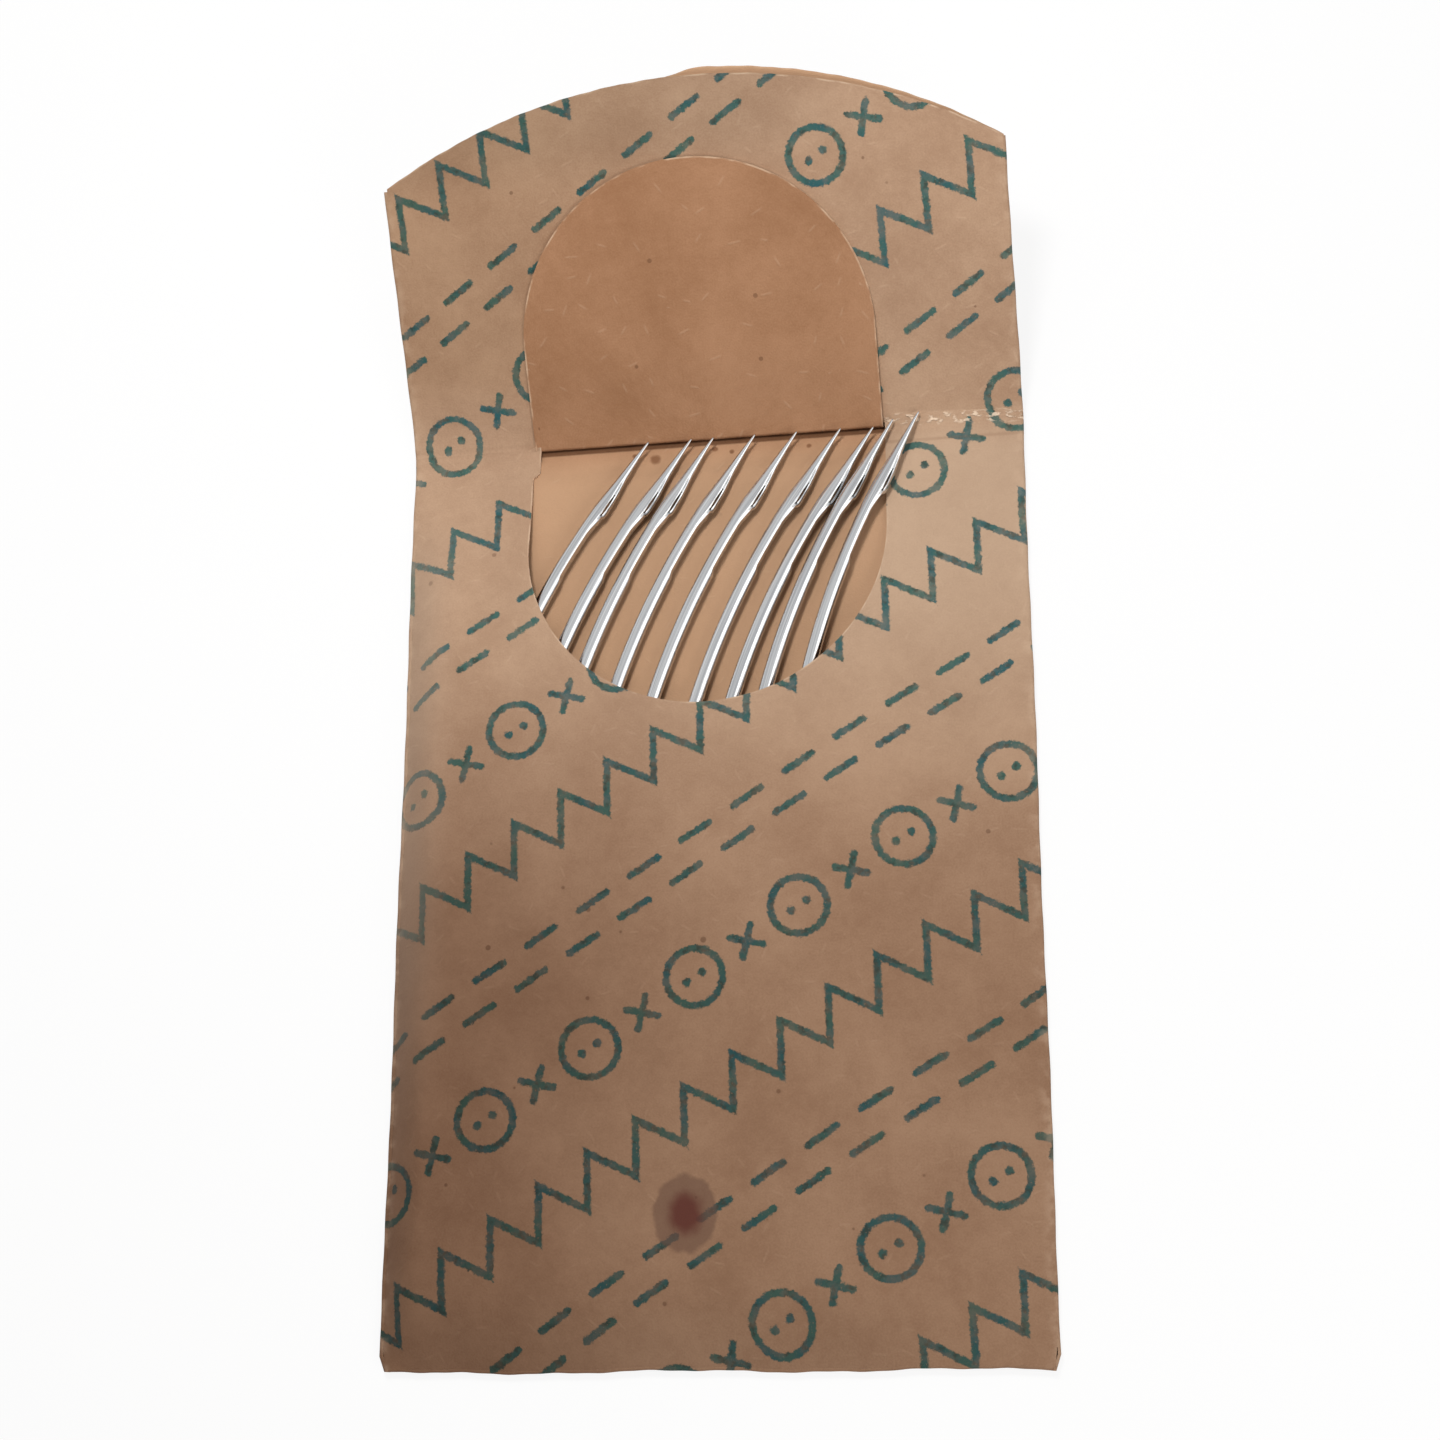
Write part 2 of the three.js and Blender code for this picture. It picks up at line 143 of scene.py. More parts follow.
# The finishes of the paper: the printed outer side, the bare inner side and the pale fibres of a cut edge.
# All three follow the flat sheet's own millimetres, s across it and t along it, which each mesh carries with
# the distance from the nearest cut, so the print runs on round the folds.
class Wire:
    """An output socket in a material. Arithmetic on it adds Math nodes to that material."""

    def __init__(self, tree, socket):
        self.tree = tree
        self.socket = socket

    def add(self, kind, settings, inputs, output=0):
        """Adds a node: its settings are set first, then each input gets a value or a link."""
        node = self.tree.nodes.new(kind)
        for name, value in settings.items():
            setattr(node, name, value)
        for name, value in inputs.items():
            if isinstance(value, Wire):
                self.tree.links.new(value.socket, node.inputs[name])
            else:
                node.inputs[name].default_value = value
        return Wire(self.tree, node.outputs[output])

    def math(self, operation, first, second=0.0):
        """A Math node's result for one or two values."""
        return self.add("ShaderNodeMath", {"operation": operation}, {0: first, 1: second})

    def __add__(self, other):
        return self.math("ADD", self, other)

    def __sub__(self, other):
        return self.math("SUBTRACT", self, other)

    def __rsub__(self, other):
        return self.math("SUBTRACT", other, self)

    def __mul__(self, other):
        return self.math("MULTIPLY", self, other)

    def __truediv__(self, other):
        return self.math("DIVIDE", self, other)

    def __mod__(self, other):
        return self.math("FLOORED_MODULO", self, other)

    def __lt__(self, other):
        return self.math("LESS_THAN", self, other)

    def __gt__(self, other):
        return self.math("GREATER_THAN", self, other)

    def __abs__(self):
        return self.math("ABSOLUTE", self)

    __radd__ = __add__
    __rmul__ = __mul__

    def floor(self):
        """The whole number below."""
        return self.math("FLOOR", self)

    def least(self, other):
        """The lesser of two values."""
        return self.math("MINIMUM", self, other)

    def most(self, other):
        """The greater of two values."""
        return self.math("MAXIMUM", self, other)

    def hypot(self, other):
        """The length of a vector with these two sides."""
        return self.math("SQRT", self * self + other * other)

    def step(self, low, high):
        """Eases from 0 to 1 as the value goes from low to high."""
        inputs = {"Value": self, "From Min": low, "From Max": high}
        return self.add("ShaderNodeMapRange", {"interpolation_type": "SMOOTHSTEP"}, inputs)

    def mix(self, low, high):
        """A colour between two, with this wire as the share of the second."""
        return self.add("ShaderNodeMix", {"data_type": "RGBA"}, {0: self, 6: low, 7: high}, 2)

    def tint(self, colour, tint):
        """A colour multiplied by a tint, with this wire as the tint's share."""
        settings = {"data_type": "RGBA", "blend_type": "MULTIPLY"}
        return self.add("ShaderNodeMix", settings, {0: self, 6: colour, 7: tint}, 2)

    def parts(self):
        """The x, y and z of a vector."""
        return [self.add("ShaderNodeSeparateXYZ", {}, {0: self}, axis) for axis in (0, 1, 2)]

    def stretched(self, x, y, z=1.0):
        """A vector with each of its parts multiplied."""
        return self.add("ShaderNodeVectorMath", {"operation": "MULTIPLY"}, {0: self, 1: (x, y, z)})

    def noise(self, scale, detail=2.0):
        """Noise about 0.5 with that many waves to a unit of this vector."""
        return self.add("ShaderNodeTexNoise", {}, {"Vector": self, "Scale": scale, "Detail": detail})

    def cells(self, scale, output):
        """Voronoi cells: output 0 is the distance to the seed, 1 the cell's colour and 2 the seed."""
        return self.add("ShaderNodeTexVoronoi", {}, {"Vector": self, "Scale": scale}, output)

    def bump(self, depth):
        """A normal from this height, with its depth in millimetres."""
        return self.add("ShaderNodeBump", {}, {"Height": self, "Distance": depth / MM})

    def feed(self, socket):
        """Links this wire to an input socket."""
        self.tree.links.new(self.socket, socket)


def srgb(*levels):
    """A colour from its screen levels of 0 to 255, by the power law of screens."""
    linear = [((c / 255 + 0.055) / 1.055) ** 2.4 for c in levels]
    return (*linear, 1.0)


def new_material(name, attribute):
    """A material, its shader, and the wire of a vector attribute that the mesh carries."""
    material = bpy.data.materials.new(name)
    material.use_nodes = True
    tree = material.node_tree
    shader = tree.nodes["Principled BSDF"]
    source = tree.nodes.new("ShaderNodeAttribute")
    source.attribute_name = attribute
    return material, shader, Wire(tree, source.outputs["Vector"])


def kraft(sheet, pale, deep):
    """Kraft paper's colour and relief: clouded pulp as a sum of noises, a few short pale fibres as thin
    strips at chance angles about the seeds of cells, dark specks as small discs about other seeds, and a
    painted highlight, a pale line in patches along each cut edge."""
    pale_fibre, dark_speck, edge_highlight_colour = srgb(214, 184, 156), srgb(92, 60, 42), srgb(228, 202, 174)
    fibre_cells, speck_cells, widest_turn = 0.62, 0.5, 2.6
    s, t, from_cut = sheet.parts()
    cloud = sheet.noise(0.13, 2) * 0.42 + sheet.noise(0.6, 2) * 0.2 + sheet.noise(2.3, 2) * 0.14
    grain = sheet.noise(9.0, 2)
    colour = (cloud + grain * 0.24).step(0.28, 0.72).mix(deep, pale)

    seed_s, seed_t, _ = sheet.cells(fibre_cells, 2).parts()
    chance, length, _ = sheet.cells(fibre_cells, 1).parts()
    angle = (chance - 0.5) * widest_turn
    cosine = angle.math("COSINE", angle)
    sine = angle.math("SINE", angle)
    along = (s - seed_s) * cosine + (t - seed_t) * sine
    beside = (t - seed_t) * cosine - (s - seed_s) * sine
    strip = (abs(along) - length * 0.35).step(0.15, -0.15) * abs(beside).step(0.1, 0.02)
    fibre = strip * (length > 0.6)
    colour = (fibre * 0.12).mix(colour, pale_fibre)

    chosen, size, _ = sheet.cells(speck_cells, 1).parts()
    speck = (sheet.cells(speck_cells, 0) - size * 0.05).step(0.05, 0.02) * (chosen > 0.6)
    colour = (speck * 0.5).mix(colour, dark_speck)
    # Painted highlight: a pale line in patches along each cut edge, where the edge catches the light.
    painted_edge_highlight = from_cut.step(0.12, 0.04) * sheet.noise(0.7, 3).step(0.42, 0.62)
    colour = (painted_edge_highlight * 0.45).mix(colour, edge_highlight_colour)
    relief = grain * 0.5 + fibre * 0.4 + sheet.noise(2.2, 3) * 0.9
    return colour, relief


def stitch_rows(sheet):
    """A generic print of sewing stitches in slanting rows, as a distance in millimetres that is negative in
    the ink. Rows of zigzag, of buttons with crosses between them and of double running stitch take turns:
    each is the distance from its line or ring less the stroke, roughened by noise."""
    slant = math.radians(33)
    row_pitch = 5.9
    stroke = 0.2
    s, t, _ = sheet.parts()
    wander = (sheet.noise(3.0, 2) - 0.5) * 0.12
    along = s * math.cos(slant) + t * math.sin(slant)
    across = (t * math.cos(slant) - s * math.sin(slant)) / row_pitch
    row = across.floor()
    off = (across - row - 0.5) * row_pitch + wander
    kind = row % 3

    wave, swing = 3.1, 1.25
    ramp = abs((along / wave) % 1 - 0.5) * 4 - 1
    steepness = math.cos(math.atan(4 * swing / wave))
    zigzag = abs(off - ramp * swing) * steepness - stroke

    button_pitch, button_radius, button_shift = 6.8, 1.55, 0.37
    hole_place, hole_radius = 0.5, 0.24
    beside = (along / button_pitch + row * button_shift) % 1 * button_pitch - button_pitch / 2
    rim = abs(beside.hypot(off) - button_radius) - stroke
    holes = (abs(beside) - hole_place).hypot(off) - hole_radius
    arm = 0.9
    between = button_pitch / 2 - abs(beside)
    rising = abs(between + off) * math.sqrt(0.5)
    falling = abs(between - off) * math.sqrt(0.5)
    up_arm = (rising - arm).most(0).hypot(falling)
    down_arm = (falling - arm).most(0).hypot(rising)
    cross = up_arm.least(down_arm) - stroke
    buttons = rim.least(holes).least(cross)

    stitch_pitch, stitch_half, track = 3.4, 0.9, 0.85
    side = off > 0
    dash = abs((along / stitch_pitch + side * 0.5) % 1 - 0.5) * stitch_pitch - stitch_half
    running = dash.most(0).hypot(abs(off) - track) - stroke

    first = kind < 0.5
    last = kind > 1.5
    ragged = (sheet.noise(4.0, 3) - 0.5) * 0.3 + (sheet.noise(15.0, 2) - 0.5) * 0.16
    return first * zigzag + last * running + (1 - first - last) * buttons + ragged


paper_relief = 0.022


def printed_side():
    """The outer side: kraft with the teal print, painted light that makes it paler below the crease, painted
    shade that darkens the foot and the flap's left part and end, one oily stain, pale wear at the crease and
    the folds, a painted shade line along the crease's lower bend and painted light on the steep left
    shoulder. Each mark's share is a product of smooth steps across and along the sheet."""
    material, shader, sheet = new_material("printed_kraft", "sheet")
    colour, relief = kraft(sheet, srgb(186, 154, 127), srgb(158, 125, 100))
    s, t, _ = sheet.parts()
    # Painted light: paler below the crease, most towards the right.
    painted_light_below_crease = t.step(1, -2) * t.step(-26, -6)
    colour = (painted_light_below_crease * (s.step(-22, 10) * 0.46 + 0.04)).mix(colour, srgb(190, 165, 141))

    blue_ink, green_ink, pooled_ink = srgb(34, 86, 92), srgb(62, 96, 88), srgb(50, 58, 52)
    thin = sheet.noise(1.4, 3).step(0.3, 0.62) * 0.2 + 0.78
    missing = sheet.noise(9.0, 2).step(0.62, 0.76)
    ink = stitch_rows(sheet).step(0.05, -0.05) * thin * (1 - missing * 0.45)
    teal = sheet.noise(0.7, 2).step(0.3, 0.7).mix(blue_ink, green_ink)
    pooled = sheet.noise(2.6, 3).step(0.48, 0.68)
    colour = ink.mix(colour, (pooled * 0.7).mix(teal, pooled_ink))

    # Painted shade: tints that darken the foot, its left side the most, and the flap's left part and its
    # end.
    foot_shade_tint, left_foot_shade_tint = (0.68, 0.625, 0.59, 1), (0.65, 0.6, 0.58, 1)
    flap_shade_tint, flap_end_shade_tint = (0.84, 0.8, 0.75, 1), (0.89, 0.91, 0.92, 1)
    painted_foot_shade = t.step(-9, -34)
    colour = painted_foot_shade.tint(colour, foot_shade_tint)
    colour = (painted_foot_shade * s.step(6, -18)).tint(colour, left_foot_shade_tint)
    colour = (t.step(1, 5) * s.step(9, -14)).tint(colour, flap_shade_tint)
    colour = (t.step(14, 18) * s.step(14, 2)).tint(colour, flap_end_shade_tint)

    stain_s, stain_t, stain_half_width, stain_half_length = -1.1, -44.6, 1.65, 1.98
    oil_ring, oil_core = srgb(92, 66, 54), srgb(82, 38, 32)
    ragged = (sheet.noise(1.6, 3) - 0.5) * 0.25
    east = (s - stain_s) / stain_half_width
    north = (t - stain_t) / stain_half_length
    spread = east.hypot(north) + ragged
    colour = (spread.step(1.1, 0.94) * 0.6).mix(colour, oil_ring)
    colour = (spread.step(0.76, 0.3) * 0.85).mix(colour, oil_core)

    upper_place, upper_slope, lower_place = 0.5, 0.028, -0.95
    crackle = sheet.stretched(2.0, 5.0).noise(1.0, 3).step(0.5, 0.62)
    upper_line = abs(t + s * upper_slope - upper_place).step(0.36, 0.1) * s.step(4, 11)
    painted_crease_shade_line = abs(t - lower_place).step(0.16, 0.02) * s.step(-6, 8)
    colour = (upper_line * crackle * 0.72).mix(colour, srgb(240, 216, 190))
    # Painted shade: a dark line along the crease's lower bend.
    colour = (painted_crease_shade_line * 0.22).mix(colour, srgb(120, 88, 64))
    worn = abs(s).step(17.2, 17.9) * abs(s).step(20.5, 19) * sheet.noise(1.2, 3).step(0.42, 0.66)
    colour = (worn * 0.2).mix(colour, srgb(214, 186, 160))
    # Painted light: paler on the steep left shoulder, above the foot.
    painted_left_shoulder_light = s.step(-14, -17.4) * s.step(-19.5, -18.5) * t.step(-3, -9) * t.step(-44, -24)
    colour = (painted_left_shoulder_light * 0.18).mix(colour, srgb(206, 184, 162))

    colour.feed(shader.inputs["Base Color"])
    (0.86 - ink * 0.12 - spread.step(1.06, 0.94) * 0.2).feed(shader.inputs["Roughness"])
    raised = relief + ink * 0.3 + upper_line * crackle * 2
    raised.bump(paper_relief).feed(shader.inputs["Normal"])
    shader.inputs["Specular IOR Level"].default_value = 0.25
    return material


left_fold_radius = front_top / 2


def back_s(x):
    """Where a place on the back lies on the unfolded sheet, past the left fold."""
    return 2 * panel_left - math.pi * left_fold_radius - x


def bare_side():
    """The inner side: warmer unprinted kraft, paler on the back inside the pocket and at the flap's end,
    with a painted shadow, a dark line along the back's crease under the tab's nose, and rust spots where the
    needles' points have lain. A spot is a disc with a ragged rim."""
    material, shader, sheet = new_material("bare_kraft", "sheet")
    colour, relief = kraft(sheet, srgb(172, 130, 99), srgb(147, 106, 76))
    s, t, _ = sheet.parts()
    # Paler on the back inside the pocket and at the flap's end.
    paler_back_mask = s.step(-18, -20) * t.step(2, -3).most(t.step(11, 15))
    colour = (paler_back_mask * 0.65).mix(colour, srgb(196, 160, 128))
    # Painted shadow: a dark line along the back's crease, under the tab's nose.
    painted_nose_shadow = t.step(-0.3, -0.2) * t.step(0.3, 0.1) * s.step(-17, -18)
    colour = (painted_nose_shadow * 0.8).mix(colour, srgb(78, 46, 26))

    rust_spots = ((-3.4, -0.98, 0.34), (-4.66, -0.63, 0.16), (0.11, -0.54, 0.2))
    rust_spots += ((1.12, -0.81, 0.16), (5.65, -0.78, 0.16), (9.73, -1.02, 0.14))
    ragged = (sheet.noise(4.0, 3) - 0.5) * 0.5
    rust = 0.0 * s
    for across, down, radius in rust_spots:
        distance = (back_s(across) - s).hypot(down - t) / radius
        rust = rust.most((distance + ragged).step(1.25, 0.5))
    colour = (rust * 0.7).mix(colour, srgb(104, 62, 36))
    colour.feed(shader.inputs["Base Color"])
    (0.9 - rust * 0.1).feed(shader.inputs["Roughness"])
    relief.bump(paper_relief).feed(shader.inputs["Normal"])
    shader.inputs["Specular IOR Level"].default_value = 0.2
    return material


def cut_side():
    """A cut edge: pale torn fibres, as noise between two browns."""
    fray_relief = 0.03
    material, shader, sheet = new_material("cut_kraft", "sheet")
    fray = sheet.noise(6.0, 3)
    colour = fray.step(0.3, 0.7).mix(srgb(176, 140, 110), srgb(222, 194, 166))
    colour.feed(shader.inputs["Base Color"])
    (fray * 0.1 + 0.85).feed(shader.inputs["Roughness"])
    fray.bump(fray_relief).feed(shader.inputs["Normal"])
    return material


paper_finishes = [printed_side(), bare_side(), cut_side()]


# The back of the packet. The sheet's lower layer lies flat on the table, bowed up a little under the
# needles, and runs on up the back of the flap, whose round end shows above the front layer's from the
# middle rightwards. Its right edge is the sheet's own cut edge.
paper = corners("back_panel")[1][2]
flap_side = 15.45
flap_front_rise, flap_back_rise = 4.9, 5.3
row_crowding = 1.7


def flap_end(x, rise):
    """Where a layer of the flap ends: an arc through the flap's corners, with a rise above their line, and a
    slight wave in the cut."""
    past_fold = 0.16
    half = panel_right + past_fold
    radius = (half**2 + rise**2) / (2 * rise)
    wavy = 0.012 * np.sin(2.3 * x + rise) + 0.01 * np.sin(5.1 * x)
    return flap_side + rise - radius + np.sqrt(radius**2 - np.clip(x, -half, half) ** 2) + wavy


def flat(s, along, from_cut=1.0):
    """Places on the unfolded sheet, each with its distance from the nearest cut edge, up to 1 mm."""
    return np.stack(np.broadcast_arrays(s, along, np.clip(from_cut, 0, 1)), -1)


def grid_quads(rows, columns):
    """The quads of a grid of points that are numbered row by row."""
    first = np.arange(rows - 1)[:, None] * columns + np.arange(columns - 1)
    first = first.reshape(-1, 1)
    return first + np.array([0, 1, columns + 1, columns])


def smooth_piece(name, points, faces, attribute, vectors, sharp_degrees):
    """A piece in the scene from points in metres: smooth, with a vector for each point, which its finish
    follows, and with sharp edges past an angle."""
    mesh = bpy.data.meshes.new(name)
    mesh.from_pydata(points, [], faces)
    mesh.polygons.foreach_set("use_smooth", np.ones(len(faces), bool))
    mesh.set_sharp_from_angle(angle=math.radians(sharp_degrees))
    carried = mesh.attributes.new(attribute, "FLOAT_VECTOR", "POINT")
    carried.data.foreach_set("vector", vectors.astype(np.float32).ravel())
    piece = bpy.data.objects.new(name, mesh)
    bpy.context.collection.objects.link(piece)
    return piece


def paper_piece(name, blocks):
    """A closed piece of paper from one or more grids that share their borders. A block holds its printed
    side's and bare side's points, in metres, and its places on the flat sheet, in millimetres. The two sides
    are joined by a wall along every edge that only one quad has."""
    welds_to_metre = 1e7
    printed = np.concatenate([block[0].reshape(-1, 3) for block in blocks])
    bare = np.concatenate([block[1].reshape(-1, 3) for block in blocks])
    sheet = np.concatenate([block[2].reshape(-1, 3) for block in blocks])
    starts = np.cumsum([0] + [block[0][..., 0].size for block in blocks[:-1]])
    quads = np.concatenate([grid_quads(*b[0].shape[:2]) + start for b, start in zip(blocks, starts)])
    welded = np.round(printed * welds_to_metre)
    _, kept, number = np.unique(welded, axis=0, return_index=True, return_inverse=True)
    printed, bare, sheet = printed[kept], bare[kept], sheet[kept]
    quads = number.reshape(-1)[quads]

    corner = printed[quads.T]
    facing = np.cross(corner[2] - corner[0], corner[3] - corner[1])
    outward = (printed - bare)[quads[:, 0]]
    if (facing * outward).sum() < 0:
        quads = quads[:, ::-1]
    count = len(printed)
    edges = np.stack([quads, np.roll(quads, -1, 1)], -1).reshape(-1, 2)
    key = edges.min(1) * count + edges.max(1)
    _, first, uses = np.unique(key, return_index=True, return_counts=True)
    rim = edges[first[uses == 1]]
    walls = np.stack([rim[:, 1], rim[:, 0], rim[:, 0] + count, rim[:, 1] + count], 1)
    faces = np.concatenate([quads, quads[:, ::-1] + count, walls])
    sides = np.repeat([0, 1, 2], [len(quads), len(quads), len(walls)])

    points = np.concatenate([printed, bare])
    both_sheets = np.concatenate([sheet, sheet])
    piece = smooth_piece(name, points, faces, "sheet", both_sheets, sharp_degrees=50)
    piece.data.polygons.foreach_set("material_index", sides)
    for finish in paper_finishes:
        piece.data.materials.append(finish)
    return piece


def bend_at_crease(piece, height, *nodes):
    """A layer of the sheet, already bent between the pocket and the flap by place(), is baked where it lies
    and hides the imported nodes that it shows. The bend starts a reach below the crease. Where it would end
    on the flap, the same reach above it at the layer's height, is worked out but not used."""
    reach = crease_ease
    carried = reach * math.cos(flap_raised) + (crease_axis - height) * math.sin(flap_raised)
    end = Vector((0, crease_y + carried, crease_axis)) / MM
    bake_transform(piece)
    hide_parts(*nodes)


def lengthwise_rows(bottom, top):
    """Places along the packet from its bottom to an end of the flap for each column, crowded to the crease
    by a power law on either side."""
    pocket_rows = bottom * np.linspace(1, 0, 110, endpoint=False) ** row_crowding
    flap_rows = np.linspace(0, 1, 70) ** row_crowding
    top = np.broadcast_to(top, np.shape(top) or (1,))
    below = np.broadcast_to(pocket_rows[:, None], (len(pocket_rows), len(top)))
    return np.concatenate([below, flap_rows[:, None] * top])


back_low, back_high = corners("back_panel")
back_x = np.linspace(back_low[0], back_high[0], 130)
shown_from, shown_over, tucked = -1.8, 3, 0.08
shown = ease((back_x - shown_from) / shown_over)
hidden_end = flap_end(back_x, flap_front_rise) - tucked
back_end = shown * flap_end(back_x, flap_back_rise) + (1 - shown) * hidden_end
back_along = lengthwise_rows(back_low[1], back_end)
back_across = np.broadcast_to(back_x, back_along.shape)
hump_height, hump_place, hump_half = 0.2, -1, 1.2
hump = hump_height * np.clip(1 - ((back_along - hump_place) / hump_half) ** 2, 0, 1) ** 2
bow_height, bow_rise, bow_foot, bow_fall, bow_half, bow_edge = 0.32, 3, -26, 9, 14, 3
bow = bow_height * ease(0.1 - back_along / bow_rise) * ease((back_along - bow_foot) / bow_fall)
bowed = (bow + hump) * ease((bow_half - abs(back_across)) / bow_edge)
back_turn = crease_turn(back_along)
back_block = (
    place(back_across, back_along, bowed, back_turn),
    place(back_across, back_along, bowed + paper, back_turn),
    flat(back_s(back_across), back_along, back_end - back_along),
)
back_sheet = paper_piece("back_sheet", [back_block])
bend_at_crease(back_sheet, paper / 2, "back_panel", "flap_back")


# The side folds and glue laps. The sheet turns over at the left and right sides of the packet and of its
# flap, and past the right fold a strip of it is glued inside the back. The folds are rubbed pale.
lap_bottom = corners("side_glue_lap")[0][2]


def fold_block(centre_x, centre_height, radius, turns, along):
    """A half ring along the packet: the printed side on the outside and the bare side one paper's thickness
    in. On the flat sheet it runs on from the front by the arc that is travelled."""
    turns = turns[None, :]
    along = along[:, None]
    sides = [
        place(centre_x + r * np.cos(turns), along, centre_height + r * np.sin(turns))
        for r in (radius, radius - paper)
    ]
    travelled = radius * abs(turns - math.pi / 2) * np.sign(centre_x)
    sheet_s = np.broadcast_to(centre_x + travelled, sides[0].shape[:2])
    return (*sides, flat(sheet_s, along))


side_rows = lengthwise_rows(corners("left_side_fold")[0][1], flap_side)[:, 0]
leftward_turns = np.radians(np.linspace(90, 270, 17))
left_block = fold_block(panel_left, left_fold_radius, left_fold_radius, leftward_turns, side_rows)
left_fold = paper_piece("left_fold", [left_block])
bend_at_crease(left_fold, left_fold_radius, "left_side_fold", "flap_left_fold")

right_fold_radius = (front_top - lap_bottom) / 2
right_fold_height = lap_bottom + right_fold_radius
rightward_turns = np.radians(np.linspace(90, -90, 17))
right_block = fold_block(panel_right, right_fold_height, right_fold_radius, rightward_turns, side_rows)
right_fold = paper_piece("right_fold", [right_block])
bend_at_crease(right_fold, right_fold_height, "right_side_fold", "flap_right_fold")

lap_low, lap_high = corners("side_glue_lap")
lap_rows = lengthwise_rows(lap_low[1], flap_side)
lap_x = np.linspace(lap_low[0], lap_high[0], 24)
lap_along = np.broadcast_to(lap_rows, (len(lap_rows), len(lap_x)))
lap_s = panel_right + math.pi * right_fold_radius + panel_right - np.broadcast_to(lap_x, lap_along.shape)
lap_block = (
    place(lap_x[None, :], lap_along, lap_bottom),
    place(lap_x[None, :], lap_along, lap_bottom + paper),
    flat(lap_s, lap_along),
)
side_lap = paper_piece("side_lap", [lap_block])
bend_at_crease(side_lap, lap_bottom, "side_glue_lap", "flap_glue_lap")


# The bottom fold and its glue lap. Below the front panel the sheet turns in and up, and the last strip of it
# is glued inside the back panel, which closes the pocket.
bottom_x = np.linspace(panel_left, panel_right, 120)[None, :]
bottom_turns = np.radians(np.linspace(90, 270, 17))
lap_top = corners("bottom_glue_lap")[1][1]
lap_run = np.linspace(0, lap_top - panel_bottom, 20)[1:]


def bottom_side(radius):
    """The bottom fold's section as places along and heights: a half ring, then the flat lap."""
    along = np.concatenate([panel_bottom + radius * np.cos(bottom_turns), panel_bottom + lap_run])
    height = right_fold_height + radius * np.sin(bottom_turns)
    return along[:, None], np.concatenate([height, np.full(len(lap_run), height[-1])])[:, None]


round_travel = right_fold_radius * (bottom_turns - math.pi / 2)
bottom_travel = np.concatenate([round_travel, lap_run + math.pi * right_fold_radius])
bottom_block = (
    place(bottom_x, *bottom_side(right_fold_radius)),
    place(bottom_x, *bottom_side(right_fold_radius - paper)),
    flat(bottom_x, panel_bottom - bottom_travel[:, None]),
)
bottom_fold = paper_piece("bottom_fold_and_lap", [bottom_block])
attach(bottom_fold, "pocket")
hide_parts("bottom_fold", "bottom_glue_lap")


# The front of the packet. The sheet's upper layer bulges over the needles' shanks, has the U of the thumb
# window cut through it, and runs on over the crease up the front of the flap.
bulge_top = panel_high[2]
window_length = 16.5
window_straight = window_length - window_radius
ray_steps = 0.5 - 0.5 * np.cos(np.linspace(0, math.pi, 100))


def pressed(x, along):
    """How far the front layer is pressed down towards the back where the tab turns up over the crease: most
    at the crease, easing out up the flap and at the window's sides."""
    depth, reach, start, side_ease = 0.24, 5, -1, 0.4
    at_window = 1 - beside_window(x, -side_ease, side_ease)
    return depth * (1 - ease(along / reach)) * at_window * (along > start)


def front_height(x, along):
    """Height of the front's printed side: flat at the crease and the edges, and raised over the shanks, with
    the rise stretched lengthwise and skewed to the left, and shoulders to the bottom and the two sides."""
    run, start, skew = 26, 9, 0.2
    left_shoulder, right_shoulder, bottom_shoulder = 2.4, 10.7, 4.5
    ripple_height, ripple_start = 0.05, 20
    back = np.clip((-along - skew * x) / run, 0, 1)
    lengthwise = (1 - (1 - back) ** 2) * ease(-along / start)
    bottom = np.sin(np.clip((along - panel_bottom) / bottom_shoulder, 0, 1) * math.pi / 2)
    left = np.sin(np.clip((x - panel_left) / left_shoulder, 0, 1) * math.pi / 2)
    right = ease((panel_right - x) / right_shoulder)
    ripple = ripple_height * np.sin(1.3 * x + 0.4 * along) * ease(-along / ripple_start) * right
    return front_top + ((bulge_top - front_top) + ripple) * lengthwise * bottom * left * right


def front_block(x, along, from_cut):
    """A grid of the front: its printed side, its bare side one paper's thickness below, and its places on
    the flat sheet. On the flap it is pressed down behind the tab."""
    height = front_height(x, along)
    if along.min() >= 0:
        height = height - pressed(x, along)
    return place(x, along, height), place(x, along, height - paper), flat(x, along, from_cut)


def window_rays():
    """The front panel as rays from the window's U to the panel's outline: first down the left side, then
    round the half circle, then up the right side. On the left the cut steps out by a small kink just below
    the crease."""
    side_rays, round_rays = 40, 145
    kink_depth, kink_end, kink_over = 0.42, 1.75, 0.4
    side = window_straight * np.linspace(0, 1, side_rays, endpoint=False) ** 2
    angle = np.linspace(180, 360, round_rays)
    kink = kink_depth * ease((kink_end - side) / kink_over)
    left_rim = [window_centre - window_radius + kink, -side]
    round_rim = [
        window_centre + window_radius * np.cos(np.radians(angle)),
        -window_straight + window_radius * np.sin(np.radians(angle)),
    ]
    right_rim = [np.full(side_rays, window_centre + window_radius), -side[::-1]]
    corner_angles = (180, 235, 305, 360)
    left_out = [np.full(side_rays, panel_left), -side]
    round_out = [
        np.interp(angle, corner_angles, (panel_left, panel_left, panel_right, panel_right)),
        np.interp(angle, corner_angles, (-window_straight, panel_bottom, panel_bottom, -window_straight)),
    ]
    right_out = [np.full(side_rays, panel_right), -side[::-1]]
    rim = np.concatenate([left_rim, round_rim, right_rim], 1)
    out = np.concatenate([left_out, round_out, right_out], 1)
    return rim[:, :, None] + (out - rim)[:, :, None] * ray_steps


